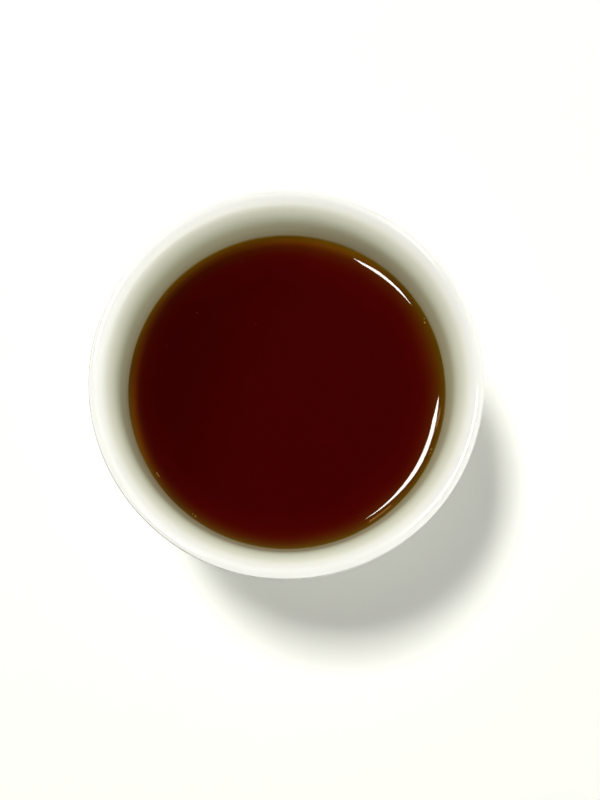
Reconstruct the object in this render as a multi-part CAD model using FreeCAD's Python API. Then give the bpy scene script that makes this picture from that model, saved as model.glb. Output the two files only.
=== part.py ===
"""A handleless porcelain tea cup filled with black tea, two solids: the cup and the tea.

Millimetres, +Z up. The origin is the centre of the circle that the foot ring stands on.
Both solids are turned about the Z axis from profiles in the XZ plane, written as (r, z) pairs.
A wall profile is a chain of tangent pieces: an arc, a straight run and a second arc that flares
out to the lip. A heading is an angle in degrees above the outward horizontal.
"""

import FreeCAD
import Part
import math
import os

Vec = FreeCAD.Vector
Z_AXIS = Vec(0, 0, 1)
ORIGIN = Vec(0, 0, 0)

# ---- Driving dimensions -------------------------------------------------------------------

# The cup over all
RIM_DIAMETER = 78.0  # widest point, on the outside of the lip
CUP_HEIGHT = 52.0  # from the table to the top of the lip

# The lip
LIP_THICKNESS = 2.3  # across the wall, just under the rounded top
LIP_LEAN = 45.0  # how far the wall leans out from upright where the lip starts

# The outside of the bowl
OUTER_START = 28.0  # heading of the bowl's underside where it leaves the foot ring
OUTER_LEAN = 6.3  # lean from upright of the straight part of the wall
OUTER_FLARE_RADIUS = 9.8  # the hollow curve below the lip, seen from outside

# The inside of the bowl
FLOOR_THICKNESS = 3.4  # porcelain between the foot's recess and the lowest point inside
FLOOR_DISH_RADIUS = 70.0  # the slightly dished floor inside
FLOOR_DISH_WIDTH = 26.0  # across the dished floor, where the corner curve begins
INNER_LEAN = 7.0  # lean from upright of the straight part of the wall inside
INNER_FLARE_RADIUS = 11.8  # the swell below the lip, inside

# The foot ring
FOOT_DIAMETER = 37.0  # across the ring's outside, where it stands
FOOT_HEIGHT = 5.6  # from the table to the neck between foot and bowl
FOOT_TAPER = 6.0  # how far the ring's outside leans in towards its neck
FOOT_WIDTH = 3.4  # through the ring where it stands
FOOT_RECESS = 4.6  # from the table up to the underside of the floor
RECESS_TAPER = 9.0  # how far the ring's inside leans in towards the floor
FOOT_ROUND = 0.7  # rounding of the ring's two standing edges
NECK_ROUND = 1.6  # rounding where the bowl meets the foot
RECESS_ROUND = 1.5  # rounding in the corner of the recess

# The tea
TEA_BELOW_RIM = 14.3  # from the top of the lip down to the level surface in the middle
MENISCUS_RADIUS = 10.3  # the curve in which the surface climbs the wall
WETTING_ANGLE = 55.0  # between the tea's surface and the porcelain at the waterline

CLOSE = 0.0001  # two lengths that differ by less than this are the same

# ---- Profile helpers ----------------------------------------------------------------------


def point(r, z):
    """A point of a profile, in the XZ plane."""
    return Vec(r, 0, z)


def ahead(heading):
    """The unit step (dr, dz) in a heading."""
    angle = math.radians(heading)
    return math.cos(angle), math.sin(angle)


def arc_step(radius, start, end):
    """The step (dr, dz) along an arc of that radius whose heading turns from start to end."""
    a, b = math.radians(start), math.radians(end)
    side = radius if end > start else -radius
    return side * (math.sin(b) - math.sin(a)), side * (math.cos(a) - math.cos(b))


def moved(place, step, times=1.0):
    """A place (r, z) moved by a step."""
    return place[0] + times * step[0], place[1] + times * step[1]


def line(start, end):
    """A straight edge between two places (r, z)."""
    return Part.LineSegment(point(*start), point(*end)).toShape()


def arc(start, radius, heading, turned_to):
    """An arc edge from a place (r, z), and the place where it ends."""
    middle = moved(start, arc_step(radius, heading, (heading + turned_to) / 2))
    end = moved(start, arc_step(radius, heading, turned_to))
    return Part.Arc(point(*start), point(*middle), point(*end)).toShape(), end


def wall(start, heading, lean, flare_radius, lip_lean, end):
    """Edges of a wall from start to end: a curve, a straight run at lean, and a flare to lip_lean.

    The curve's radius and the run's length are the two unknowns, and both enter the end point
    linearly, so two equations in r and z give them.
    """
    upright, at_lip = 90 - lean, 90 - lip_lean
    curve_unit = arc_step(1.0, heading, upright)
    run_unit = ahead(upright)
    flare = arc_step(flare_radius, upright, at_lip)
    need_r = end[0] - start[0] - flare[0]
    need_z = end[1] - start[1] - flare[1]
    det = curve_unit[0] * run_unit[1] - run_unit[0] * curve_unit[1]
    curve_radius = (need_r * run_unit[1] - run_unit[0] * need_z) / det
    run_length = (curve_unit[0] * need_z - need_r * curve_unit[1]) / det
    curve_edge, place = arc(start, curve_radius, heading, upright)
    after_run = moved(place, run_unit, run_length)
    run_edge = line(place, after_run)
    flare_edge, _ = arc(after_run, flare_radius, upright, at_lip)
    return [curve_edge, run_edge, flare_edge]


def turned(edges):
    """The solid that a closed profile makes when it turns once about the Z axis."""
    wire = Part.Wire(Part.__sortEdges__(edges))
    return Part.Face(wire).revolve(ORIGIN, Z_AXIS, 360)


# ---- Places that both solids share --------------------------------------------------------

RIM_RADIUS = RIM_DIAMETER / 2
LIP_ROUND = LIP_THICKNESS / 2
LIP_ACROSS = ahead(-LIP_LEAN)  # from the inner wall to the outer one, square to the lip

# The lip's top is a half round. Its centre lies so that it touches the overall sizes.
LIP_CENTRE = (RIM_RADIUS - LIP_ROUND, CUP_HEIGHT - LIP_ROUND)
LIP_OUTSIDE = moved(LIP_CENTRE, LIP_ACROSS, LIP_ROUND)
LIP_INSIDE = moved(LIP_CENTRE, LIP_ACROSS, -LIP_ROUND)

FLOOR_LEVEL = FOOT_RECESS + FLOOR_THICKNESS
TEA_LEVEL = CUP_HEIGHT - TEA_BELOW_RIM


def inner_wall():
    """The inside of the bowl, from the middle of the floor out and up to the lip."""
    dish_turn = math.degrees(math.asin(FLOOR_DISH_WIDTH / 2 / FLOOR_DISH_RADIUS))
    dish_edge, corner = arc((0.0, FLOOR_LEVEL), FLOOR_DISH_RADIUS, 0.0, dish_turn)
    sides = wall(corner, dish_turn, INNER_LEAN, INNER_FLARE_RADIUS, LIP_LEAN, LIP_INSIDE)
    return [dish_edge] + sides


# ---- The cup ------------------------------------------------------------------------------


def foot_places():
    """The corners of the foot ring's section: inside top, inside base, outside base, neck."""
    outside = FOOT_DIAMETER / 2
    inside = outside - FOOT_WIDTH
    neck = outside - FOOT_HEIGHT * math.tan(math.radians(FOOT_TAPER))
    recess = inside - FOOT_RECESS * math.tan(math.radians(RECESS_TAPER))
    return (recess, FOOT_RECESS), (inside, 0.0), (outside, 0.0), (neck, FOOT_HEIGHT)


def cup():
    """The porcelain cup: bowl, lip and foot ring in one solid."""
    recess, foot_inside, foot_outside, neck = foot_places()
    outer_wall = wall(neck, OUTER_START, OUTER_LEAN, OUTER_FLARE_RADIUS, LIP_LEAN, LIP_OUTSIDE)
    lip_top = moved(LIP_CENTRE, ahead(90 - LIP_LEAN), LIP_ROUND)
    lip_edge = Part.Arc(point(*LIP_OUTSIDE), point(*lip_top), point(*LIP_INSIDE)).toShape()
    foot = [
        line((0.0, FLOOR_LEVEL), (0.0, FOOT_RECESS)),
        line((0.0, FOOT_RECESS), recess),
        line(recess, foot_inside),
        line(foot_inside, foot_outside),
        line(foot_outside, neck),
    ]
    body = turned(foot + outer_wall + [lip_edge] + inner_wall())
    body = rounded(body, foot_inside, FOOT_ROUND)
    body = rounded(body, foot_outside, FOOT_ROUND)
    body = rounded(body, recess, RECESS_ROUND)
    return rounded(body, neck, NECK_ROUND)


def rounded(body, corner, radius):
    """The body with the circular edge through a corner (r, z) of its profile rounded."""
    edges = [
        edge
        for edge in body.Edges
        if not edge.Degenerated
        and isinstance(edge.Curve, Part.Circle)
        and abs(edge.Curve.Radius - corner[0]) < CLOSE
        and abs(edge.Curve.Center.z - corner[1]) < CLOSE
    ]
    return body.makeFillet(radius, edges)


# ---- The tea ------------------------------------------------------------------------------


def wall_at(height):
    """The radius of the inner wall, and its heading, at a height."""
    level = line((0.0, height), (RIM_RADIUS, height))
    for edge in inner_wall()[1:]:
        gap, meetings, _ = edge.distToShape(level)
        if gap < CLOSE:
            place = meetings[0][0]
            tangent = edge.tangentAt(edge.Curve.parameter(place))
            return place.x, math.degrees(math.atan2(abs(tangent.z), abs(tangent.x)))
    raise ValueError("the tea's edge lies above the lip or below the floor")


def waterline():
    """Radius and height of the line where the tea meets the porcelain, and its slope there.

    The slope is the wall's heading less the wetting angle, and the climb follows from the slope
    and the meniscus's radius. The heading changes little with height, so going round the two
    settles them.
    """
    height = TEA_LEVEL
    moved_by = CUP_HEIGHT
    while moved_by > CLOSE:
        radius, heading = wall_at(height)
        slope = heading - WETTING_ANGLE
        climb = MENISCUS_RADIUS * (1 - math.cos(math.radians(slope)))
        moved_by = abs(TEA_LEVEL + climb - height)
        height = TEA_LEVEL + climb
    return radius, height, slope


def tea():
    """The tea: it fills the bowl to its level, and climbs the wall in a meniscus."""
    radius, height, slope = waterline()
    climb = arc_step(MENISCUS_RADIUS, 0.0, slope)
    shore = (radius - climb[0], TEA_LEVEL)
    meniscus, edge_of_tea = arc(shore, MENISCUS_RADIUS, 0.0, slope)
    inside_wall = (RIM_RADIUS, edge_of_tea[1])
    air = turned(
        [
            line((0.0, CUP_HEIGHT), (0.0, TEA_LEVEL)),
            line((0.0, TEA_LEVEL), shore),
            meniscus,
            line(edge_of_tea, inside_wall),
            line(inside_wall, (RIM_RADIUS, CUP_HEIGHT)),
            line((RIM_RADIUS, CUP_HEIGHT), (0.0, CUP_HEIGHT)),
        ]
    )
    lid = [line(LIP_INSIDE, (0.0, LIP_INSIDE[1])), line((0.0, LIP_INSIDE[1]), (0.0, FLOOR_LEVEL))]
    bowl = turned(inner_wall() + lid)
    print(f"tea: waterline radius {radius:.2f} at {height:.2f}, slope {slope:.1f}")
    return bowl.cut(air)


# ---- Build --------------------------------------------------------------------------------

os.makedirs("parts", exist_ok=True)
for name, make in (("cup", cup), ("tea", tea)):
    shape = make()
    solids = shape.Solids
    assert len(solids) == 1 and solids[0].isValid(), name
    solids[0].exportStep(f"parts/{name}.step")
    box = solids[0].optimalBoundingBox()
    print(f"{name}: volume {solids[0].Volume / 1000:.2f} ml, z {box.ZMin:.2f} to {box.ZMax:.2f}")
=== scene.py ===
# %% [markdown]
# # A cup of black tea
#
# This lesson dresses a handleless porcelain cup and the tea in it. The solids come from a packed
# model, the frame, which fixes every size and place. Here both get the surface that the eye sees:
# a thrown and glazed wall with a soft, slightly uneven skin, and tea whose edge climbs the wall
# and turns from dark red to amber where it is thin.
#
# All lengths are in metres. `MM` keeps the sizes readable.

# %% Load the frame
import math

import bmesh
import bpy
import numpy as np
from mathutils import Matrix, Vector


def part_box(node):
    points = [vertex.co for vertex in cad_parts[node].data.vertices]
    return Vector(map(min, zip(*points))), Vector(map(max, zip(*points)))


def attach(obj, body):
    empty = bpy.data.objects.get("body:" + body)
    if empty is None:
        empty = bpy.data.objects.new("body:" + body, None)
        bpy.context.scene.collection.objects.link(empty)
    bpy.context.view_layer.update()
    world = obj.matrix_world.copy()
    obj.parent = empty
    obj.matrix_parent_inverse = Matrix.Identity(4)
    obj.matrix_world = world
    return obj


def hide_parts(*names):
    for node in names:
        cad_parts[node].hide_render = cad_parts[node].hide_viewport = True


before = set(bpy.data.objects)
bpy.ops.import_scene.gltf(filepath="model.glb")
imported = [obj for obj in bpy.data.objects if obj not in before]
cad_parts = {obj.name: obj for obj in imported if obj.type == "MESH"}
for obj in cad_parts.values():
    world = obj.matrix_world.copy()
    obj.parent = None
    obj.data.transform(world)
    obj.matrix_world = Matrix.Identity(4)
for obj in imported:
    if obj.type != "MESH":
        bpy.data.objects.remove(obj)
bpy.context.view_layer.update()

MM = 0.001
cup_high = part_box("cup")[1]
tea_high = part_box("tea")[1]
print("nodes:", sorted(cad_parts))
print("cup across the lip and high, mm:", round(2 * cup_high.x / MM, 1), round(cup_high.z / MM, 1))

# %% [markdown]
# ## Sizes of the cup
#
# The overall sizes are read from the frame. The rest are the potter's own: how thick the lip is,
# how far the wall leans, how the foot ring is cut. Most of them are angles and radii, because a
# cup's wall is one run of curves that flow into each other.

# %% Sizes of the cup
RIM_RADIUS = cup_high.x
CUP_HEIGHT = cup_high.z

LIP_THICKNESS = 2.3 * MM
LIP_LEAN = 45.0

OUTER_START = 28.0  # heading of the bowl's underside at the foot, in degrees above level
OUTER_LEAN = 6.3  # how far the straight part of the wall leans out from upright
OUTER_FLARE = 9.8 * MM

FLOOR_THICKNESS = 3.4 * MM
FLOOR_DISH = 70.0 * MM
FLOOR_DISH_WIDTH = 26.0 * MM
INNER_LEAN = 7.0
INNER_FLARE = 11.8 * MM

FOOT_RADIUS = 18.5 * MM
FOOT_HEIGHT = 5.6 * MM
FOOT_TAPER = 6.0
FOOT_WIDTH = 3.4 * MM
FOOT_RECESS = 4.6 * MM
RECESS_TAPER = 9.0
FOOT_ROUND = 0.7 * MM
NECK_ROUND = 1.6 * MM
RECESS_ROUND = 1.5 * MM

FLOOR_LEVEL = FOOT_RECESS + FLOOR_THICKNESS
WATERLINE_RADIUS = tea_high.x
WATERLINE_HEIGHT = tea_high.z
print("waterline, mm: radius", round(WATERLINE_RADIUS / MM, 2), "height", round(WATERLINE_HEIGHT / MM, 2))

# %% [markdown]
# ## A pen that draws profiles
#
# A turned thing is drawn as half of its section. The easiest pen for it works like a walker: it
# has a place and a heading, and it either goes straight on or bends along an arc. Because each
# move starts with the heading that the last one ended with, the line has no kinks.

# %% The profile pen
def ahead(heading):
    """The unit step in a heading: the cosine outward and the sine upward."""
    angle = math.radians(heading)
    return np.array([math.cos(angle), math.sin(angle)])


def straight(start, heading, length):
    """Points from a start along a heading: start + t * length * step, with t from 0 to 1."""
    t = np.linspace(0, 1, 40)[:, None]
    return start + t * length * ahead(heading)


def bend(start, radius, heading, turned_to):
    """Points along an arc whose heading turns evenly from one value to another.

    The place after heading h is start + side * radius * (sin h - sin h0, cos h0 - cos h), where
    side is +1 for a turn to the left and -1 for one to the right.
    """
    h = np.radians(np.linspace(heading, turned_to, 80))
    side = math.copysign(radius, turned_to - heading)
    return start + side * np.column_stack([np.sin(h) - np.sin(h[0]), np.cos(h[0]) - np.cos(h)])


def wall(start, heading, lean, flare, end):
    """A wall from start to end: a curve, a straight run that leans, and a flare to the lip.

    The curve's radius and the run's length are solved from the two equations that say where the
    wall ends: radius * bend + length * run = end - start - flare, in r and in z.
    """
    upright = 90 - lean
    at_lip = 90 - LIP_LEAN
    curve_step = bend(np.zeros(2), 1.0, heading, upright)[-1]
    flare_step = bend(np.zeros(2), flare, upright, at_lip)[-1]
    sizes = np.linalg.solve(np.column_stack([curve_step, ahead(upright)]), end - start - flare_step)
    curve = bend(start, sizes[0], heading, upright)
    run = straight(curve[-1], upright, sizes[1])
    return np.vstack([curve, run, bend(run[-1], flare, upright, at_lip)])


def rounded(before, corner, after, radius):
    """Points of the arc that rounds a corner between two straight sides.

    Its ends lie radius * tan(turn / 2) from the corner along each side.
    """
    into = math.degrees(math.atan2(*(corner - before)[::-1]))
    out = math.degrees(math.atan2(*(after - corner)[::-1]))
    turn = (out - into + 180) % 360 - 180
    cut = radius * math.tan(math.radians(abs(turn)) / 2)
    return bend(corner - cut * ahead(into), radius, into, into + turn)


# %% [markdown]
# ## The cup's profile
#
# The line starts under the cup, in the middle of the foot's recess. It goes round the foot ring,
# up the outside, over the half-round lip and down the inside to the middle of the floor. So it
# runs with the porcelain always on its left, and the surface that it makes faces outward.

# %% The cup's profile
def inside_of_bowl():
    """The inner wall from the middle of the floor to the lip: a shallow dish, then the wall."""
    dish_turn = math.degrees(math.asin(FLOOR_DISH_WIDTH / 2 / FLOOR_DISH))
    dish = bend(np.array([0.0, FLOOR_LEVEL]), FLOOR_DISH, 0.0, dish_turn)
    return np.vstack([dish, wall(dish[-1], dish_turn, INNER_LEAN, INNER_FLARE, lip_inside)])


def lean_offset(height, taper):
    """How far a side that leans by taper degrees moves over a height: height * tan(taper)."""
    return height * math.tan(math.radians(taper))


lip_centre = np.array([RIM_RADIUS, CUP_HEIGHT]) - LIP_THICKNESS / 2
lip_outside = lip_centre + LIP_THICKNESS / 2 * ahead(-LIP_LEAN)
lip_inside = lip_centre - LIP_THICKNESS / 2 * ahead(-LIP_LEAN)

ring_inside = np.array([FOOT_RADIUS - FOOT_WIDTH, 0.0])
ring_outside = np.array([FOOT_RADIUS, 0.0])
recess_corner = np.array([ring_inside[0] - lean_offset(FOOT_RECESS, RECESS_TAPER), FOOT_RECESS])
neck = np.array([FOOT_RADIUS - lean_offset(FOOT_HEIGHT, FOOT_TAPER), FOOT_HEIGHT])
recess_middle = np.array([0.0, FOOT_RECESS])

inner = inside_of_bowl()
outer = wall(neck, OUTER_START, OUTER_LEAN, OUTER_FLARE, lip_outside)
neck_bend = rounded(ring_outside, neck, outer[1], NECK_ROUND)
outer = outer[np.linalg.norm(outer - neck, axis=1) > np.linalg.norm(neck_bend[-1] - neck)]
lip = bend(lip_outside, LIP_THICKNESS / 2, 90 - LIP_LEAN, 270 - LIP_LEAN)

cup_line = np.vstack([
    recess_middle,
    rounded(recess_middle, recess_corner, ring_inside, RECESS_ROUND),
    rounded(recess_corner, ring_inside, ring_outside, FOOT_ROUND),
    rounded(ring_inside, ring_outside, neck, FOOT_ROUND),
    neck_bend,
    outer,
    lip,
    inner[::-1],
])
print("cup profile:", len(cup_line), "points, wall at the waterline, mm:",
      round((np.interp(WATERLINE_HEIGHT, outer[:, 1], outer[:, 0]) - WATERLINE_RADIUS) / MM, 2))

# %% [markdown]
# ## Even spacing along a profile
#
# A mesh looks smooth when its rows are close where the line bends and wide where it is straight.
# So the rows are spaced by a mixed measure: length along the line plus a share of how far the
# line has turned.

# %% Spread the rows
def spread(line, step, bend_step):
    """The line with its points spaced evenly in length / step + turning / bend_step."""
    sides = np.diff(line, axis=0)
    lengths = np.linalg.norm(sides, axis=1)
    keep = lengths > 1e-9
    line = np.vstack([line[:1], line[1:][keep]])
    sides, lengths = sides[keep], lengths[keep]
    headings = np.unwrap(np.arctan2(sides[:, 1], sides[:, 0]))
    turning = np.abs(np.gradient(headings))
    measure = np.concatenate([[0], np.cumsum(lengths / step + np.degrees(turning) / bend_step)])
    rows = np.linspace(0, measure[-1], int(math.ceil(measure[-1])) + 1)
    return np.column_stack([np.interp(rows, measure, line[:, 0]), np.interp(rows, measure, line[:, 1])])


# %% [markdown]
# ## Turn a profile into a surface
#
# Blender has a Screw modifier for this, but a grid worked out with numpy is as short, and it lets
# the shape be a little uneven before it becomes a mesh. The grid has one row for each point of
# the profile and one column for each angle. Both ends lie on the axis, so they close in a point.

# %% The turned surface
COLUMNS = 336  # points round the axis
CREASE = 40.0  # an edge that turns more than this stays sharp, in degrees


def turned_grid(line, out_of_round=None):
    """Grid of points (r cos a, r sin a, z) for the profile's rows and the angles a round the axis.

    out_of_round(r, z, a), if given, is added to r: it is how uneven the wall is there.
    """
    a = np.linspace(0, 2 * math.pi, COLUMNS, endpoint=False)[None, :]
    r = np.repeat(line[1:-1, :1], COLUMNS, axis=1)
    z = np.repeat(line[1:-1, 1:], COLUMNS, axis=1)
    if out_of_round is not None:
        r = r + out_of_round(r, z, a)
    return np.stack([r * np.cos(a), r * np.sin(a), z], axis=-1)


def closed_mesh(name, grid, first_pole, last_pole):
    """A mesh of a grid that is closed round its columns and capped by two points on the axis.

    Row i and column j meet at index i * columns + j. Each quad joins rows i and i + 1.
    """
    rows, columns = grid.shape[:2]
    points = np.vstack([grid.reshape(-1, 3), [first_pole], [last_pole]])
    j = np.arange(columns)
    k = (j + 1) % columns
    i = np.arange(rows - 1)[:, None] * columns
    quads = np.stack([i + j, i + k, i + columns + k, i + columns + j], axis=-1).reshape(-1, 4)
    last_row = (rows - 1) * columns
    fans = np.vstack([
        np.column_stack([k, j, np.full(columns, rows * columns)]),
        np.column_stack([last_row + j, last_row + k, np.full(columns, rows * columns + 1)]),
    ])
    mesh = bpy.data.meshes.new(name)
    mesh.vertices.add(len(points))
    mesh.vertices.foreach_set("co", points.ravel())
    loops = np.concatenate([quads.ravel(), fans.ravel()])
    mesh.loops.add(len(loops))
    mesh.loops.foreach_set("vertex_index", loops)
    starts = np.concatenate([np.arange(len(quads)) * 4, len(quads) * 4 + np.arange(len(fans)) * 3])
    mesh.polygons.add(len(starts))
    mesh.polygons.foreach_set("loop_start", starts)
    mesh.update(calc_edges=True)
    mesh.validate()
    mesh.shade_smooth()
    mesh.set_sharp_from_angle(angle=math.radians(CREASE))
    return mesh


def show(name, mesh):
    """Puts a mesh into the scene as an object at the origin."""
    piece = bpy.data.objects.new(name, mesh)
    bpy.context.scene.collection.objects.link(piece)
    print(name, "has", len(mesh.polygons), "faces")
    return piece


# %% [markdown]
# ## The cup
#
# Real porcelain moves a little in the kiln: the rim is never a perfect circle, and the wall keeps
# a faint lobed swelling. Both are far too small to see as shapes, about a tenth of a millimetre,
# but they break up the reflections, which is what makes a glaze look real. The unevenness only
# ever pulls the wall in, so the cup keeps inside its measured size.

# %% The cup
OVAL = 0.10 * MM
OVAL_TOWARD = 0.6  # where the oval is narrowest, in radians round the axis
LOBES = 0.05 * MM
LOBE_COUNT = 5
LOBE_START = 2.1
LOBE_TWIST = 4.0  # radians that the lobes turn on their way up the wall
CUP_ROW_STEP = 1.2 * MM
CUP_ROW_BEND = 7.0  # degrees of bend that count as much as one step


def kiln_warp(r, z, a):
    """How far the wall is pulled in, as a negative length.

    It is half of oval * (1 + cos 2(a - toward)) + lobes * (1 + cos(count * a + start + twist * rise)),
    times the rise z / height and the reach r / rim radius, so it fades out toward the foot.
    """
    rise = z / CUP_HEIGHT
    oval = OVAL * (1 + np.cos(2 * (a - OVAL_TOWARD)))
    lobes = LOBES * (1 + np.cos(LOBE_COUNT * a + LOBE_START + LOBE_TWIST * rise))
    return -0.5 * rise * (oval + lobes) * (r / RIM_RADIUS)


cup_rows = spread(cup_line, CUP_ROW_STEP, CUP_ROW_BEND)
cup = show("cup_glazed", closed_mesh(
    "cup_glazed", turned_grid(cup_rows, kiln_warp), (0, 0, FOOT_RECESS), (0, 0, FLOOR_LEVEL)))
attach(cup, "root")
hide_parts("cup")

# %% [markdown]
# ## The tea
#
# Tea wets porcelain, so its surface isn't flat up to the wall: it bends and climbs, and stops
# where it meets the glaze at its wetting angle. That skin is the most telling shape in a cup of
# tea, because it catches the windows in thin bright crescents. An arc is a poor stand-in for it.
# The balance of weight and surface tension has an exact answer, a curve whose only size is the
# capillary length, and it is used here as it stands.

# %% The tea
CAPILLARY = 2.7 * MM
EDGE_SLOPE = 24.0  # how steep the tea's skin is where it meets the wall, in degrees
FLATTEST = 0.03  # degrees of slope at which the skin counts as level
SKIN_ROWS = 76
LEVEL_ROWS = 13
TEA_ROW_STEP = 1.5 * MM
TEA_ROW_BEND = 8.0
SHORT_OF_WATERLINE = 0.02 * MM


def climbing_skin():
    """The tea's skin from the waterline to the level part, as points (r, z).

    With slope p, the rise over the level is 2 c sin(p / 2), and the distance from where the skin
    is steepest is c (ln cot(p / 4) - 2 cos(p / 2)), where c is the capillary length.
    """
    p = np.radians(np.geomspace(EDGE_SLOPE, FLATTEST, SKIN_ROWS))
    rise = 2 * CAPILLARY * np.sin(p / 2)
    away = CAPILLARY * (np.log(1 / np.tan(p / 4)) - 2 * np.cos(p / 2))
    return np.column_stack([WATERLINE_RADIUS - (away - away[0]), WATERLINE_HEIGHT - rise[0] + rise])


skin = climbing_skin()
TEA_LEVEL = skin[-1, 1]
level_part = np.column_stack([
    np.linspace(skin[-1, 0], 0, LEVEL_ROWS + 1)[1:], np.full(LEVEL_ROWS, TEA_LEVEL)])
under = inner[inner[:, 1] < WATERLINE_HEIGHT - SHORT_OF_WATERLINE]
tea_line = np.vstack([spread(under, TEA_ROW_STEP, TEA_ROW_BEND), skin, level_part])
tea = show("tea_filled", closed_mesh(
    "tea_filled", turned_grid(tea_line), (0, 0, FLOOR_LEVEL), (0, 0, TEA_LEVEL)))
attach(tea, "root")
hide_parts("tea")
print("tea climbs, mm:", round((WATERLINE_HEIGHT - TEA_LEVEL) / MM, 2))

# %% [markdown]
# ## Bubbles and dust
#
# A poured cup keeps a few bubbles, which drift to the edge because the climbing skin draws them
# up. They are domes of a few tenths of a millimetre, each sitting in a small collar of tea. A few
# grains of tea dust lie on the skin too. A painted dot would have no highlight of its own, so each
# one is a small closed ball of real mesh. All bubbles are joined into one piece, and so are all
# grains, which leaves two things to place and two materials to set.

# %% Small closed balls
BALL_ROWS = 12
BALL_COLUMNS = 20
COLLAR_SPREAD = 0.35  # how far from the tea's surface the collar reaches, in radians on the ball


def round_grid(rows, columns):
    """Angles for a closed ball: v runs from the bottom pole to the top one, u goes round."""
    v = np.linspace(-math.pi / 2, math.pi / 2, rows)[1:-1, None]
    u = np.linspace(0, 2 * math.pi, columns, endpoint=False)[None, :]
    return u, v


def joined(name, meshes):
    """One mesh that holds the faces of many, by way of Blender's mesh editing data."""
    whole = bmesh.new()
    for mesh in meshes:
        whole.from_mesh(mesh)
        bpy.data.meshes.remove(mesh)
    mesh = bpy.data.meshes.new(name)
    whole.to_mesh(mesh)
    whole.free()
    mesh.shade_smooth()
    return mesh


def joined_balls(name, places, widths, heights, collar, roughness, seed):
    """Many small closed balls in one mesh.

    A ball's points are (w cos v cos u, w cos v sin u, h sin v), where w also swells by collar
    near the tea's surface, as exp(-(v / spread)^2), and by a random lobed share, roughness.
    """
    u, v = round_grid(BALL_ROWS, BALL_COLUMNS)
    dice = np.random.default_rng(seed)
    turn = dice.uniform(0, 2 * math.pi, (len(places), 1, 1))
    lobes = 1 + roughness * (np.sin(2 * u + turn) * np.cos(v) + 0.5 * np.sin(5 * u + 3 * v + 2 * turn))
    profile = np.cos(v) + collar * np.exp(-(v / COLLAR_SPREAD) ** 2)
    w = widths[:, None, None] * profile * lobes
    h = heights[:, None, None] * np.sin(v) * np.ones_like(w)
    points = np.stack([w * np.cos(u), w * np.sin(u), h], axis=-1) + places[:, None, None, :]
    meshes = [closed_mesh(name, grid, place - [0, 0, height], place + [0, 0, height])
              for grid, place, height in zip(points, places, heights)]
    return joined(name, meshes)


def on_tea(spots):
    """Places on the tea for rows that start with mm from the waterline and degrees round the axis.

    The height is read off the skin's own points at each distance.
    """
    r = WATERLINE_RADIUS - spots[:, 0] * MM
    a = np.radians(spots[:, 1])
    return np.column_stack([r * np.cos(a), r * np.sin(a), np.interp(r, skin[::-1, 0], skin[::-1, 1])])


# %% Bubbles
DOME_HEIGHT = 0.85  # a bubble's height above the tea as a share of its radius
BUBBLE_COLLAR = 0.22
BUBBLES = np.array([
    # mm from the waterline, degrees round the axis, width in mm
    [0.60, -22.9, 0.36],
    [0.50, -24.4, 0.22],
    [0.80, 26.1, 0.34],
    [0.50, 27.5, 0.22],
    [1.05, 213.2, 0.22],
    [1.00, 213.9, 0.26],
    [1.05, 214.6, 0.20],
    [0.50, 141.2, 0.24],
    [0.50, 142.2, 0.20],
    [0.70, 234.7, 0.28],
    [0.75, 233.4, 0.20],
])
bubble_radius = BUBBLES[:, 2] / 2 * MM
bubbles = show("bubbles", joined_balls(
    "bubbles", on_tea(BUBBLES), bubble_radius, bubble_radius * DOME_HEIGHT, BUBBLE_COLLAR, 0.0, seed=3))
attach(bubbles, "root")

# %% Dust
GRAIN_HEIGHT = 0.5  # a grain is half as high as it is wide
GRAIN_LOBES = 0.25
DUST = np.array([
    # mm from the waterline, degrees round the axis, width in mm
    [7.8, 139.1, 0.16],
    [6.0, 159.8, 0.14],
    [17.5, 115.2, 0.12],
    [3.9, 109.4, 0.12],
    [14.0, 250.0, 0.09],
    [3.0, 300.0, 0.10],
])
grain_radius = DUST[:, 2] / 2 * MM
dust = show("tea_dust", joined_balls(
    "tea_dust", on_tea(DUST), grain_radius, grain_radius * GRAIN_HEIGHT, 0.0, GRAIN_LOBES, seed=5))
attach(dust, "root")

# %% [markdown]
# ## Shader helpers
#
# A material is a small tree of nodes. Written out one by one, nodes and links soon hide what a
# finish is. So one helper adds a node and fills its sockets with values or links, and a second
# does a sum with it.

# %% Shader helpers: a node and a sum
def add(tree, kind, inputs=None, **settings):
    """Adds a node, applies its settings, and fills its inputs with values or with links."""
    node = tree.nodes.new(kind)
    for name, value in settings.items():
        setattr(node, name, value)
    for name, value in (inputs or {}).items():
        if isinstance(value, bpy.types.NodeSocket):
            tree.links.new(value, node.inputs[name])
        else:
            node.inputs[name].default_value = value
    return node


def maths(tree, operation, *values):
    """The result of one Math node whose inputs are numbers or sockets."""
    return add(tree, "ShaderNodeMath", dict(enumerate(values)), operation=operation).outputs[0]


# %% [markdown]
# Ramps and fades do most of the work here, because on a turned thing most looks follow the height
# or the distance from the axis. A ramp holds its own list of places and colours, so a finish can be
# read as a table. Blends lay one colour over another.

# %% Shader helpers: ramps, fades and blends
def ramp(tree, value, low, high, stops, smooth=True):
    """A colour read from stops (place, colour) as value goes from the low to the high place."""
    share = add(tree, "ShaderNodeMapRange", {
        "Value": value, "From Min": low, "From Max": high, "To Min": 0.0, "To Max": 1.0}).outputs[0]
    node = add(tree, "ShaderNodeValToRGB", {"Fac": share})
    node.color_ramp.interpolation = "B_SPLINE" if smooth else "LINEAR"
    places = node.color_ramp.elements
    while len(places) < len(stops):
        places.new(0.5)
    for place, (at, colour) in zip(places, stops):
        place.position = (at - low) / (high - low)
        place.color = (*colour, 1)
    return node.outputs["Color"]


def greys(*stops):
    """Ramp stops of plain grey, for values that a ramp reads out: (place, value) becomes a colour."""
    return [(at, (value, value, value)) for at, value in stops]


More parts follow.
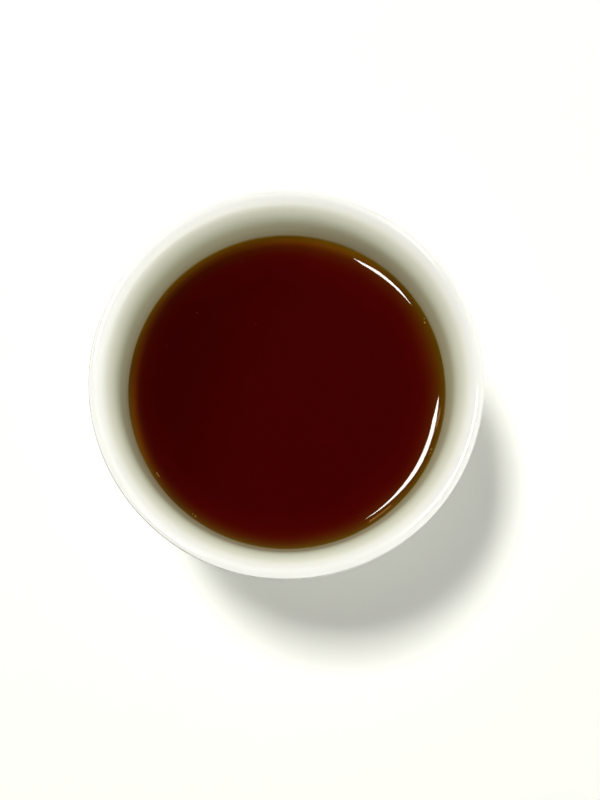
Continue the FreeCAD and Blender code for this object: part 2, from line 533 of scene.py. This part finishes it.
def scaled(tree, colour, share):
    """A colour whose three parts are all multiplied by the same share."""
    return add(tree, "ShaderNodeVectorMath", {0: colour, "Scale": share}, operation="SCALE").outputs[0]


def fading(tree, value, start, end, from_value=0.0, to_value=1.0, kind="LINEAR"):
    """A value that goes from one to the other as the given value goes from start to end."""
    return add(tree, "ShaderNodeMapRange", {
        "Value": value, "From Min": start, "From Max": end, "To Min": from_value, "To Max": to_value},
        interpolation_type=kind).outputs[0]


def blend(tree, share, first, second, kind="MIX"):
    """The second colour laid over the first one by a share."""
    node = add(tree, "ShaderNodeMix", {"Factor": share}, data_type="RGBA", blend_type=kind)
    for socket, value in zip([s for s in node.inputs if s.type == "RGBA"], (first, second)):
        if isinstance(value, bpy.types.NodeSocket):
            tree.links.new(value, socket)
        else:
            socket.default_value = (*value, 1)
    return [s for s in node.outputs if s.type == "RGBA"][0]


# %% [markdown]
# What two finishes share is made once, as a node group with named inputs, and placed in each of
# them with its own values. The group holds only patterns. The shader itself and anything that
# depends on the eye stay in the material.

# %% Shader helpers: materials and groups
def material(name, **principled):
    """A material whose Principled BSDF has the given plain values."""
    made = bpy.data.materials.new(name)
    made.use_nodes = True
    shader = made.node_tree.nodes["Principled BSDF"]
    for socket, value in principled.items():
        shader.inputs[socket.replace("_", " ")].default_value = value
    return made, made.node_tree, shader


def raised(tree, shader, relief, strength, distance):
    """Gives a shader the bumps of a relief, with a strength and the relief's height in metres."""
    bump = add(tree, "ShaderNodeBump", {"Height": relief, "Strength": strength, "Distance": distance})
    tree.links.new(bump.outputs[0], shader.inputs["Normal"])


def group(name, inputs, outputs):
    """An empty node group with named float inputs and their defaults, and named outputs."""
    tree = bpy.data.node_groups.new(name, "ShaderNodeTree")
    for label, value in inputs.items():
        socket = tree.interface.new_socket(label, in_out="INPUT", socket_type="NodeSocketFloat")
        socket.default_value = value
    for label, kind in outputs.items():
        tree.interface.new_socket(label, in_out="OUTPUT", socket_type=kind)
    return tree, add(tree, "NodeGroupInput").outputs, add(tree, "NodeGroupOutput").inputs


def placed(tree, used, **values):
    """Puts a node group into a material with the values given for its inputs."""
    node = add(tree, "ShaderNodeGroup", node_tree=used)
    for label, value in values.items():
        node.inputs[label].default_value = value
    return node.outputs


# %% [markdown]
# ## Where a point is on a turned thing
#
# On anything turned, patterns follow the distance from the axis and the height. Both come from
# Object coordinates. The porcelain and the tea both need them, so they are one node group. Its
# heights and distances are in millimetres, which keeps the values in the materials readable. It
# also tells the inside of the bowl from everything else. There the surface faces the axis, which
# shows in the sum x * nx + y * ny: it is below zero where the normal n points inward. The foot's
# recess faces the axis too, so heights up to the foot ring's top don't count as inside.

# %% Group: place on the turned form
turned_place, _, out = group("Turned place", {}, {
    "Distance": "NodeSocketFloat", "Height": "NodeSocketFloat", "Across": "NodeSocketFloat",
    "Along": "NodeSocketFloat", "Inside": "NodeSocketFloat"})
tree = turned_place
here = add(tree, "ShaderNodeTexCoord").outputs
in_mm = add(tree, "ShaderNodeVectorMath", {
    0: here["Object"], "Scale": 1 / MM}, operation="SCALE").outputs[0]
xyz = add(tree, "ShaderNodeSeparateXYZ", {0: in_mm}).outputs
flat_squares = maths(tree, "MULTIPLY_ADD", xyz[0], xyz[0], maths(tree, "MULTIPLY", xyz[1], xyz[1]))
tree.links.new(maths(tree, "SQRT", flat_squares), out["Distance"])
tree.links.new(xyz[2], out["Height"])
tree.links.new(xyz[0], out["Across"])
tree.links.new(xyz[1], out["Along"])
faces = add(tree, "ShaderNodeSeparateXYZ", {0: here["Normal"]}).outputs
faces_outward = maths(tree, "MULTIPLY_ADD", xyz[0], faces[0], maths(
    tree, "MULTIPLY", xyz[1], faces[1]))
above_foot = maths(tree, "GREATER_THAN", xyz[2], FOOT_HEIGHT / MM)
faces_inward = maths(tree, "LESS_THAN", faces_outward, 0.0)
tree.links.new(maths(tree, "MULTIPLY", faces_inward, above_foot), out["Inside"])
print("the place group gives:", [socket.name for socket in out if socket.name])

# %% [markdown]
# ## A skin that isn't perfect
#
# No real surface is evenly smooth. This group gives slow cloudy variation for colour and two
# sizes of unevenness for a bump: the slow swell of a hand-turned wall or a liquid, and the fine
# ripple that potters call orange peel. Every material here uses it, each with its own values.

# %% Group: uneven skin
uneven, given, out = group("Uneven skin", {
    "Cloud scale": 40.0, "Swell scale": 60.0, "Peel scale": 900.0, "Peel share": 0.3}, {
    "Cloud": "NodeSocketFloat", "Relief": "NodeSocketFloat"})
tree = uneven
here = add(tree, "ShaderNodeTexCoord").outputs["Object"]
cloud = add(tree, "ShaderNodeTexNoise", {
    "Vector": here, "Scale": given["Cloud scale"], "Detail": 3.0, "Roughness": 0.55})
swell = add(tree, "ShaderNodeTexNoise", {
    "Vector": here, "Scale": given["Swell scale"], "Detail": 1.0, "Roughness": 0.4})
peel = add(tree, "ShaderNodeTexNoise", {
    "Vector": here, "Scale": given["Peel scale"], "Detail": 1.0, "Roughness": 0.5})
relief = maths(tree, "MULTIPLY_ADD", peel.outputs[0], given["Peel share"], swell.outputs[0])
tree.links.new(cloud.outputs[0], out["Cloud"])
tree.links.new(relief, out["Relief"])
print("the skin group takes:", [socket.name for socket in given if socket.name])

# %% [markdown]
# ## Porcelain under a clear glaze
#
# The cup is ivory white rather than paper white. The inner wall is palest on the lip and darker
# toward the tea, and the outer wall goes to a deeper ivory lower down, more gently. On the inner
# wall the darkening is partly a deeper ivory and partly painted shade: its colours were set under
# the light of this scene, and under another light the wall beside the tea may look a little too
# deep. A slow cloud makes both walls drift a little, and a few specks and pinholes sit in the
# glaze. The gloss has an orange-peel skin.

# %% Porcelain: the glaze's colour
GLAZE_ROUGHNESS = 0.07
PALE = (0.925, 0.926, 0.898)
INNER_WALL_AND_SHADE = [
    # height in mm, and the colour there
    (40.0, (0.725, 0.742, 0.530)),
    (43.8, (0.700, 0.718, 0.505)),
    (46.5, (0.745, 0.765, 0.585)),
    (47.9, (0.785, 0.800, 0.660)),
    (49.4, (0.820, 0.830, 0.710)),
    (50.6, (0.912, 0.917, 0.845)),
    (51.3, PALE),
]
OUTER_WALL = [(40.0, (0.885, 0.890, 0.810)), (50.0, PALE), (52.0, PALE)]
WALL_FROM = 40.0  # mm above the table, the heights between which both walls change
WALL_TO = 52.0
CLOUD_DEPTH = 0.06  # how much the cloud changes the glaze from its darkest to its palest place
CLOUD_BASE = 0.965

porcelain, tree, shader = material("porcelain_glaze", IOR=1.5, Roughness=GLAZE_ROUGHNESS)
place = placed(tree, turned_place)
skin_of_glaze = placed(tree, uneven, **{
    "Cloud scale": 45.0, "Swell scale": 70.0, "Peel scale": 800.0, "Peel share": 0.10})
# The inner wall's ramp is partly a deeper ivory and partly painted shade, darkest beside the tea.
inner_wall_and_shade = ramp(tree, place["Height"], WALL_FROM, WALL_TO, INNER_WALL_AND_SHADE, smooth=False)
outer_wall = ramp(tree, place["Height"], WALL_FROM, WALL_TO, OUTER_WALL)
glaze = blend(tree, place["Inside"], outer_wall, inner_wall_and_shade)
glaze = scaled(tree, glaze, maths(tree, "MULTIPLY_ADD", skin_of_glaze["Cloud"], CLOUD_DEPTH, CLOUD_BASE))
print("ivory deepens over, mm:", round(INNER_WALL_AND_SHADE[-1][0] - INNER_WALL_AND_SHADE[1][0], 1))

# %% [markdown]
# The lip's outer edge, where it is seen edge-on, gets a dark hairline of painted shade on its front
# left side, where the light passes over the lip. What makes it isn't certain. It may be shade,
# where the light passes over the lip. A painted band would look like a rim of metal from the side.
# So the line follows Layer Weight's Facing, which is high only where the surface turns away from
# the eye, and it is kept to the outer half of the lip, below its top, on that one side.

# %% Porcelain: the lip's line of painted shade
LIP_MIDDLE = lip_centre[1] / MM
LINE_LOW = LIP_MIDDLE - 1.0
LINE_FADES = LIP_MIDDLE + 0.35
LINE_TOP = LIP_MIDDLE + 0.80
LIP_SHADE_COLOUR = (0.10, 0.10, 0.07)
LIP_SHADE_SHARE = 0.8  # how much it covers of the glaze where it is full
EDGE_ON_FROM = 0.22  # Facing where the line starts, and where it is full
EDGE_ON_FULL = 0.50
SIDE_ACROSS = -0.75  # the direction in which the line is darkest
SIDE_ALONG = -0.66
SIDE_FROM = 4.0  # mm from the axis in that direction where the line starts, and where it is full
SIDE_FULL = 26.0

edge_on = add(tree, "ShaderNodeLayerWeight", {"Blend": 0.5}).outputs["Facing"]
# The line is painted shade on the lip's outer edge, on its front left side.
lip_shade = fading(tree, edge_on, EDGE_ON_FROM, EDGE_ON_FULL, 0.0, LIP_SHADE_SHARE)
outer_half = maths(tree, "GREATER_THAN", place["Distance"], lip_centre[0] / MM)
above_belly = maths(tree, "GREATER_THAN", place["Height"], LINE_LOW)
below_top = fading(tree, place["Height"], LINE_FADES, LINE_TOP, 1.0, 0.0)
to_front_left = maths(tree, "MULTIPLY_ADD", place["Across"], SIDE_ACROSS, maths(
    tree, "MULTIPLY", place["Along"], SIDE_ALONG))
front_left = fading(tree, to_front_left, SIDE_FROM, SIDE_FULL)
for mask in (outer_half, above_belly, below_top, front_left):
    lip_shade = maths(tree, "MULTIPLY", lip_shade, mask)
glaze = blend(tree, lip_shade, glaze, LIP_SHADE_COLOUR)
print("hairline lies between, mm:", round(LINE_LOW, 2), round(LINE_TOP, 2))

# %% [markdown]
# Fired glaze is never quite clean: here and there it has a dark speck or a pinhole. The cells of a
# Voronoi pattern spread them evenly but in no rows. One cell in seven gets a speck, and the same
# mask makes a tiny dent in the relief.

# %% Porcelain: specks and pinholes
SPECK_CELLS = 170.0  # cells to the metre, so each is about 6 mm wide
SPECK_SIZE = 0.022  # radius of a speck as a share of its cell
CELLS_WITHOUT = 0.86  # share of the cells that have no speck
SPECK_DEPTH = 0.55

here = add(tree, "ShaderNodeTexCoord").outputs["Object"]
cells = add(tree, "ShaderNodeTexVoronoi", {"Vector": here, "Scale": SPECK_CELLS})
chosen = add(tree, "ShaderNodeSeparateColor", {0: cells.outputs["Color"]}).outputs[0]
near_middle = maths(tree, "LESS_THAN", cells.outputs["Distance"], SPECK_SIZE)
speck = maths(tree, "MULTIPLY", near_middle, maths(tree, "GREATER_THAN", chosen, CELLS_WITHOUT))
glaze = blend(tree, maths(tree, "MULTIPLY", speck, SPECK_DEPTH), glaze, (0.36, 0.30, 0.20))
print("widest speck, mm:", round(2 * SPECK_SIZE / SPECK_CELLS / MM, 2))

# %% [markdown]
# Just above the tea, the wall gets a brown band: partly a thin wet film with fine tide lines where
# the tea stood a moment ago, and partly painted shade beside the dark tea. The band follows the
# height above the waterline. A little noise lifts and drops it, so it never reads as a drawn ring.
# The outer wall has the same heights, so it is kept inside.

# %% Porcelain: the wet band and painted shade above the tea
WET_AND_SHADED_BAND = [
    # mm above the waterline, and how much of the wall's colour the film and painted shade take over there
    (0.0, 0.95), (0.25, 0.80), (0.7, 0.48), (1.4, 0.32), (1.65, 0.46), (1.9, 0.29), (2.3, 0.36),
    (2.6, 0.25), (3.8, 0.18), (6.0, 0.08), (8.0, 0.0),
]
FILM_AND_SHADE_BROWN = (0.38, 0.265, 0.105)
WANDER = 0.35  # mm that the band rises and falls
BAND_FROM = -0.5  # mm; the wall under the tea stays dry, because nothing shows of it

wander = add(tree, "ShaderNodeTexNoise", {"Vector": here, "Scale": 95.0, "Detail": 2.0}).outputs[0]
above = maths(tree, "SUBTRACT", place["Height"], WATERLINE_HEIGHT / MM)
above = maths(tree, "MULTIPLY_ADD", maths(tree, "SUBTRACT", wander, 0.5), WANDER, above)
# This band is partly wet film and partly painted shade beside the tea.
film_and_shade = ramp(tree, above, WET_AND_SHADED_BAND[0][0], WET_AND_SHADED_BAND[-1][0], greys(*WET_AND_SHADED_BAND), smooth=False)
band_mask = maths(tree, "MULTIPLY", place["Inside"], maths(tree, "GREATER_THAN", above, BAND_FROM))
film_and_shade_share = maths(tree, "MULTIPLY", add(tree, "ShaderNodeRGBToBW", {0: film_and_shade}).outputs[0], band_mask)
glaze = blend(tree, film_and_shade_share, glaze, FILM_AND_SHADE_BROWN)
print("wet band ends, mm above the waterline:", WET_AND_SHADED_BAND[-1][0])

# %% [markdown]
# The ring that the cup stands on is wiped clean before firing, or the glaze would stick it to the
# kiln shelf. So it is bare, matt and a little warmer, and under the fingers it is gritty.

# %% Porcelain: the bare ring, gloss and relief
BARE_BELOW = 0.45  # mm above the table
BARE_ROUGHNESS = 0.72
GLOSS_DRIFT = 0.05
GRIT_DEPTH = 0.35  # the grit's height as a share of the relief

bare = maths(tree, "LESS_THAN", place["Height"], BARE_BELOW)
grit = add(tree, "ShaderNodeTexNoise", {"Vector": here, "Scale": 2600.0, "Detail": 2.0}).outputs[0]
biscuit = ramp(tree, grit, 0.3, 0.7, [(0.3, (0.66, 0.62, 0.52)), (0.7, (0.80, 0.77, 0.68))])
tree.links.new(blend(tree, bare, glaze, biscuit), shader.inputs["Base Color"])

uneven_gloss = maths(
    tree, "MULTIPLY_ADD", skin_of_glaze["Cloud"], GLOSS_DRIFT, GLAZE_ROUGHNESS - GLOSS_DRIFT / 2)
roughness = maths(tree, "MAXIMUM", uneven_gloss, maths(tree, "MULTIPLY", bare, BARE_ROUGHNESS))
tree.links.new(roughness, shader.inputs["Roughness"])
grain = maths(tree, "MULTIPLY", grit, maths(tree, "MULTIPLY", bare, GRIT_DEPTH))
relief = maths(tree, "SUBTRACT", maths(tree, "ADD", skin_of_glaze["Relief"], grain), speck)
raised(tree, shader, relief, 0.5, 0.00009)
cup.data.materials.append(porcelain)
print("nodes in the porcelain:", len(tree.nodes))

# %% [markdown]
# ## Black tea
#
# Tea is clear, but a centimetre of it swallows nearly all light except deep red. What the eye
# sees is therefore set by depth. In the middle it is dark red and almost black. Near the wall the
# wedge of tea thins to nothing, so it passes through brown to an olive amber, and at last shows
# the porcelain. A clear material with real depth would need long renders and still look noisy in
# so dark a liquid. Here the depth is known everywhere from the distance to the waterline, so the
# colour is read from it directly, and the gloss of a water surface lies over it.

# %% Tea
FRINGE = [
    # mm from the waterline, and the colour there
    (0.00, (0.150, 0.092, 0.012)),
    (0.15, (0.105, 0.056, 0.002)),
    (0.33, (0.095, 0.040, 0.0004)),
    (0.66, (0.093, 0.034, 0.0006)),
    (1.00, (0.088, 0.025, 0.0005)),
    (1.50, (0.082, 0.016, 0.0005)),
    (2.10, (0.076, 0.0093, 0.0005)),
    (2.70, (0.071, 0.0055, 0.0004)),
    (3.50, (0.066, 0.0022, 0.0004)),
    (4.50, (0.062, 0.0008, 0.0003)),
    (9.00, (0.052, 0.0004, 0.0003)),
]
# The fringe is painted wider toward the back and the right. On the right it stands for the window's light on
# the wall under the thin tea, and at the back for how much of the thin tea the eye sees there.
FRINGE_WIDER_ALONG = 0.20  # the fringe is wider on one side, as if the cup stood a hair out of level
FRINGE_WIDER_ACROSS = 0.25
FRINGE_DRIFT = 0.60  # how much wider the cloud makes the fringe in one place than in another
FRINGE_BASE = 0.70  # the fringe's width where the cloud is darkest

tea_look, tree, shader = material("black_tea", IOR=1.33, Roughness=0.02)
place = placed(tree, turned_place)
skin_of_tea = placed(tree, uneven, **{
    "Cloud scale": 60.0, "Swell scale": 45.0, "Peel scale": 300.0, "Peel share": 0.02})
tea_radius = WATERLINE_RADIUS / MM
from_edge = maths(tree, "SUBTRACT", tea_radius, place["Distance"])
# lean here widens the fringe as painted light and view, not as a tilt of the cup.
lean = maths(tree, "MULTIPLY_ADD", place["Along"], FRINGE_WIDER_ALONG / tea_radius, 1.0)
lean = maths(tree, "MULTIPLY_ADD", place["Across"], FRINGE_WIDER_ACROSS / tea_radius, lean)
drift = maths(tree, "MULTIPLY_ADD", skin_of_tea["Cloud"], FRINGE_DRIFT, FRINGE_BASE)
thinness = maths(tree, "DIVIDE", from_edge, maths(tree, "MULTIPLY", lean, drift))
brew = ramp(tree, thinness, FRINGE[0][0], FRINGE[-1][0], FRINGE, smooth=False)
print("fringe ends, mm from the waterline:", FRINGE[-1][0])

# %% [markdown]
# Light also travels inside the tea. It enters where the window reaches, on the right, and the left
# stays darker. And the thin edge on the window's own side isn't as dark as the shaded wall over it
# would make it, perhaps because light comes out of the tea again there. A surface colour can't carry
# light from one place to another, so both are written as a share by which the colour is multiplied.
# The shares were found by trial.

# %% Tea: light inside it
GLOW = greys((-33.0, 0.62), (-20.0, 0.72), (-7.0, 0.96), (5.0, 1.0), (33.0, 1.0))
GLOW_SLANT = -0.35  # how far the glow's bands lean from straight along the table
GLOW_CLOUD = 0.16
EDGE_GLOW = 3.5  # how much brighter the thin edge is right under the window
EDGE_GLOW_POWER = 1.3  # how quickly that falls off round the edge
EDGE_GLOW_FROM = 0.3  # mm from the waterline
EDGE_GLOW_TO = 2.4

glow_place = maths(tree, "MULTIPLY_ADD", place["Along"], GLOW_SLANT, place["Across"])
glow = ramp(tree, glow_place, GLOW[0][0], GLOW[-1][0], GLOW)
glow_cloud = maths(tree, "MULTIPLY_ADD", skin_of_tea["Cloud"], GLOW_CLOUD, 1 - GLOW_CLOUD / 2)
toward_window = maths(tree, "SUBTRACT", place["Along"], place["Across"])
toward_window = maths(tree, "DIVIDE", toward_window, math.sqrt(2) * tea_radius)
toward_window = maths(tree, "POWER", maths(tree, "MAXIMUM", toward_window, 0.0), EDGE_GLOW_POWER)
close_in = fading(tree, from_edge, EDGE_GLOW_FROM, EDGE_GLOW_TO, EDGE_GLOW, 0.0, "SMOOTHSTEP")
let_through = maths(tree, "MULTIPLY_ADD", toward_window, close_in, glow_cloud)
glow = scaled(tree, glow, let_through)
tree.links.new(blend(tree, 1.0, brew, glow, "MULTIPLY"), shader.inputs["Base Color"])
print("share of light, left and right:", GLOW[0][1][0], GLOW[-1][1][0])

# %% [markdown]
# The tea's skin is the glossiest thing here. It has a faint slow swell, as tea that has just come
# to rest, so the mirrored window isn't ruler-straight.

# %% Tea: its skin
TEA_ROUGHNESS = 0.002
TEA_GLOSS_DRIFT = 0.006

uneven_gloss = maths(tree, "MULTIPLY_ADD", skin_of_tea["Cloud"], TEA_GLOSS_DRIFT, TEA_ROUGHNESS)
tree.links.new(uneven_gloss, shader.inputs["Roughness"])
raised(tree, shader, skin_of_tea["Relief"], 0.15, 0.00002)
tea.data.materials.append(tea_look)
print("nodes in the tea's look:", len(tree.nodes))

# %% [markdown]
# ## Bubbles and dust: their materials
#
# A bubble is a skin of tea over air. From above it looks like pale amber with a sharp highlight,
# and it is darker where the skin stands steep. A grain of dust is matt.

# %% Bubbles and dust materials
DUST_ROUGHNESS = 0.45
DUST_GLOSS_DRIFT = 0.3

bubble_look, tree, shader = material("bubble_skin", IOR=1.33, Roughness=0.03)
film_of_tea = placed(tree, uneven, **{"Cloud scale": 2500.0, "Peel share": 0.0})
steep = add(tree, "ShaderNodeLayerWeight", {"Blend": 0.35}).outputs["Facing"]
crown = ramp(tree, film_of_tea["Cloud"], 0.3, 0.7, [
    (0.3, (0.33, 0.190, 0.048)), (0.7, (0.44, 0.275, 0.085))])
tree.links.new(blend(tree, steep, crown, (0.060, 0.018, 0.002)), shader.inputs["Base Color"])
raised(tree, shader, film_of_tea["Relief"], 0.1, 0.00001)
bubbles.data.materials.append(bubble_look)

dust_look, tree, shader = material("dust_grain", Roughness=0.6)
grain_skin = placed(tree, uneven, **{"Cloud scale": 6000.0, "Swell scale": 9000.0})
grain_colour = ramp(tree, grain_skin["Cloud"], 0.3, 0.7, [
    (0.3, (0.10, 0.035, 0.02)), (0.7, (0.22, 0.11, 0.07))])
tree.links.new(grain_colour, shader.inputs["Base Color"])
dull = maths(tree, "MULTIPLY_ADD", grain_skin["Cloud"], DUST_GLOSS_DRIFT, DUST_ROUGHNESS)
tree.links.new(dull, shader.inputs["Roughness"])
raised(tree, shader, grain_skin["Relief"], 0.4, 0.00002)
dust.data.materials.append(dust_look)
print("looks so far:", sorted(look.name for look in bpy.data.materials))

# %% [markdown]
# ## The table
#
# The cup stands on a plain white table. A table bright enough to look pure white would throw too
# much light back up at the cup. So to the light it is an ordinary pale matt surface, and only where
# it is seen directly, mirrored or through something clear does it have a colour of about 1. The
# cup's shadow stays on it. Far from the cup it fades to an even white, so it ends in no horizon.

# %% The table
TABLE_HALF = 2.5
SEEN_WHITE = (1.01, 1.015, 0.985)
FADE_FROM = 150.0  # mm from the cup's axis
FADE_TO = 450.0
BLACK = (0.0, 0.0, 0.0)
WHITE = (1.0, 1.0, 1.0, 1.0)

table_mesh = bpy.data.meshes.new("table")
table_mesh.from_pydata([(x * TABLE_HALF, y * TABLE_HALF, 0.0) for x, y in
                        ((-1, -1), (1, -1), (1, 1), (-1, 1))], [], [(0, 1, 2, 3)])
table = show("table", table_mesh)

table_look, tree, shader = material("white_table", Roughness=0.85, Specular_IOR_Level=0.0)
cloth = placed(tree, uneven, **{"Cloud scale": 3.0, "Swell scale": 400.0})
matt_white = ramp(tree, cloth["Cloud"], 0.3, 0.7, [
    (0.3, (0.875, 0.873, 0.858)), (0.7, (0.90, 0.898, 0.885))])
path = add(tree, "ShaderNodeLightPath").outputs
seen = maths(tree, "MAXIMUM", path["Is Camera Ray"], maths(
    tree, "MAXIMUM", path["Is Glossy Ray"], path["Is Transmission Ray"]))
seen_white = blend(tree, seen, matt_white, SEEN_WHITE)
from_cup = placed(tree, turned_place)["Distance"]
fade = fading(tree, from_cup, FADE_FROM, FADE_TO, kind="SMOOTHSTEP")
fade = maths(tree, "MULTIPLY", fade, path["Is Camera Ray"])
tree.links.new(blend(tree, fade, seen_white, BLACK), shader.inputs["Base Color"])
shader.inputs["Emission Color"].default_value = WHITE
tree.links.new(fade, shader.inputs["Emission Strength"])
table.data.materials.append(table_look)
print("table fades to even white between, mm:", FADE_FROM, FADE_TO)

# %% [markdown]
# ## The window
#
# A window at the back left lights the cup, and a smaller one at the front left only shows as a
# mirror image. A window has two jobs. Its light falls on everything and casts the soft shadow,
# and its mirrored shape makes a thin crescent in the tea's skin. The first job needs an area lamp.
# The second needs the true outline, which blinds and frames cut out of a plain rectangle. So a
# glowing pane of that outline hangs over the cup, and only mirrors see it. Each place is given as
# it is seen from the tea: how far it reaches across and along for each unit of height. Places,
# outlines and brightness were found by trial, from where the crescents and the shadow fall.

# %% Window light
WINDOW_HEIGHT = 1.5
WINDOW_LEVEL = WATERLINE_HEIGHT + WINDOW_HEIGHT
WINDOW_ACROSS = (-0.341, -0.173)
WINDOW_ALONG = (0.190, 0.424)
WINDOW_BRIGHTNESS = 76.0
DAYLIGHT = (1.0, 0.995, 0.95)


def window_light(name, across, along, brightness):
    """A level lamp that spans across * height and along * height, over the tea's surface.

    Power is brightness * pi * area, which is what an even panel of that brightness sends out.
    """
    lamp = bpy.data.lights.new(name, "AREA")
    lamp.shape = "RECTANGLE"
    lamp.size = (across[1] - across[0]) * WINDOW_HEIGHT
    lamp.size_y = (along[1] - along[0]) * WINDOW_HEIGHT
    lamp.energy = brightness * math.pi * lamp.size * lamp.size_y
    lamp.color = DAYLIGHT
    hung = bpy.data.objects.new(name, lamp)
    hung.location = (sum(across) / 2 * WINDOW_HEIGHT, sum(along) / 2 * WINDOW_HEIGHT, WINDOW_LEVEL)
    hung.visible_glossy = False
    bpy.context.scene.collection.objects.link(hung)
    print(name, "is", round(lamp.size, 2), "by", round(lamp.size_y, 2), "m,", round(lamp.energy, 1), "W")


window_light("back_window", WINDOW_ACROSS, WINDOW_ALONG, WINDOW_BRIGHTNESS)

# %% [markdown]
# The panes glow a little unevenly, as a window does when clouds stand behind it. Two narrow dim
# ones make a faint warm line beside each end of the long crescent. On a real cup such a line is
# probably light that went through the thin edge of the tea and came back from the wall.

# %% Mirrored panes
def pane_material(name, strength, darkest, palest):
    """A material that only glows, with a cloudy drift between two colours."""
    look, tree, shader = material(name, Roughness=1.0, Specular_IOR_Level=0.0, Base_Color=(0, 0, 0, 1))
    behind = placed(tree, uneven, **{"Cloud scale": 9.0})
    glow = ramp(tree, behind["Cloud"], 0.3, 0.7, [(0.3, darkest), (0.7, palest)])
    tree.links.new(glow, shader.inputs["Emission Color"])
    shader.inputs["Emission Strength"].default_value = strength
    return look


def pane(name, look, corners):
    """A glowing flat shape level with the window, seen in mirrors only.

    Its corners are given across and along as shares of the window's height over the tea.
    """
    mesh = bpy.data.meshes.new(name)
    mesh.from_pydata([(x * WINDOW_HEIGHT, y * WINDOW_HEIGHT, WINDOW_LEVEL) for x, y in corners], [],
                     [tuple(reversed(range(len(corners))))])
    mesh.materials.append(look)
    piece = show(name, mesh)
    piece.visible_camera = False
    piece.visible_diffuse = False
    piece.visible_shadow = False


window_pane = pane_material("window_pane", 58.0, (0.90, 0.87, 0.82), (1.0, 0.97, 0.92))
warm_pane = pane_material("warm_pane", 16.0, (0.75, 0.34, 0.10), (1.0, 0.52, 0.18))

pane("back_pane", window_pane, [
    (-0.357, 0.187), (-0.305, 0.196), (-0.232, 0.213), (-0.221, 0.300), (-0.167, 0.440),
    (-0.334, 0.400), (-0.356, 0.374)])
pane("front_pane", window_pane, [
    (-0.308, -0.098), (-0.245, -0.137), (-0.148, -0.114), (-0.146, -0.062), (-0.318, -0.043)])
pane("low_edge_glint", warm_pane, [
    (-0.342, 0.558), (-0.266, 0.598), (-0.291, 0.653), (-0.374, 0.610)])
pane("high_edge_glint", warm_pane, [
    (-0.446, 0.227), (-0.415, 0.280), (-0.448, 0.302), (-0.481, 0.245)])
print("panes hang over the table, m:", round(WINDOW_LEVEL, 3))

# %% [markdown]
# ## The room's light
#
# The rest of the room is a dim light, paler near the horizon and dark straight overhead. The dark
# part matters: level tea mirrors what is above it, and a bright ceiling would lay a grey veil over
# its red. The room is a little paler to the right, as if a pale wall stood low at the front right.
# All this was found by trial too. The eye itself sees plain white instead, so the cup stands on a
# white ground from any side, but mirrors don't see that white, so the tea keeps its dark ceiling.

# %% The room's light
SKY = [
    # the height of a direction, and the light from there: 0 is level, 1 is straight up, and below 0
    # it looks down
    (-0.2, (1.15, 1.15, 1.11)),
    (0.1, (1.15, 1.15, 1.10)),
    (0.3, (0.90, 0.90, 0.86)),
    (0.5, (0.48, 0.48, 0.455)),
    (0.72, (0.24, 0.24, 0.22)),
    (0.87, (0.05, 0.05, 0.045)),
    (1.0, (0.01, 0.01, 0.01)),
]
BRIGHTER_ACROSS = 0.40  # how much the light rises from the middle to the right
BRIGHTER_ALONG = -0.12
PALE_WALL = 1.5  # how much the pale wall at the front right adds
PALE_WALL_FROM = 0.1  # heights of direction between which it fades out
PALE_WALL_TO = 0.4
CORNER_ACROSS = 0.66  # the direction of that wall
CORNER_ALONG = -0.75
CORNER_POWER = 2.0  # how quickly it falls off to both sides

world = bpy.data.worlds.new("room")
bpy.context.scene.world = world
world.use_nodes = True
tree = world.node_tree
toward = add(tree, "ShaderNodeTexCoord").outputs["Generated"]
xyz = add(tree, "ShaderNodeSeparateXYZ", {0: toward}).outputs
sky = ramp(tree, xyz[2], SKY[0][0], SKY[-1][0], SKY, smooth=False)
side = maths(tree, "MULTIPLY_ADD", xyz[0], BRIGHTER_ACROSS, 1.0)
side = maths(tree, "MULTIPLY_ADD", xyz[1], BRIGHTER_ALONG, side)
pale_wall = fading(tree, xyz[2], PALE_WALL_FROM, PALE_WALL_TO, PALE_WALL, 0.0)
to_corner = maths(tree, "MULTIPLY_ADD", xyz[1], CORNER_ALONG, maths(tree, "MULTIPLY", xyz[0], CORNER_ACROSS))
to_corner = maths(tree, "POWER", maths(tree, "MAXIMUM", to_corner, 0.0), CORNER_POWER)
side = maths(tree, "MULTIPLY_ADD", to_corner, pale_wall, side)
background = tree.nodes["Background"]
tree.links.new(sky, background.inputs["Color"])
tree.links.new(side, background.inputs["Strength"])

white_ground = add(tree, "ShaderNodeBackground", {"Color": WHITE, "Strength": 1.0})
looked_at = add(tree, "ShaderNodeLightPath").outputs["Is Camera Ray"]
either = add(tree, "ShaderNodeMixShader", {
    0: looked_at, 1: background.outputs[0], 2: white_ground.outputs[0]})
tree.links.new(either.outputs[0], tree.nodes["World Output"].inputs["Surface"])
print("light overhead and at the horizon:", SKY[-1][1][0], SKY[1][1][0])

# %% [markdown]
# ## The camera
#
# The view is from close above the drinker's side of the cup, tilted a little toward the far rim.
# Everything is in focus, because a cup seen whole from above would be.

# %% The camera
LENS = 49.5  # mm
EYE = (2.7 * MM, -36.5 * MM, 264.3 * MM)
TILT = 8.62  # degrees from straight down

camera_data = bpy.data.cameras.new("camera")
camera_data.lens = LENS
camera_data.sensor_width = 36.0
camera_data.clip_start = 0.01
camera = bpy.data.objects.new("camera", camera_data)
camera.location = EYE
camera.rotation_euler = (math.radians(TILT), 0.0, 0.0)
bpy.context.scene.collection.objects.link(camera)
bpy.context.scene.camera = camera
bpy.context.scene.view_settings.view_transform = "Standard"
print("eye above the table, mm:", round(EYE[2] / MM, 1))
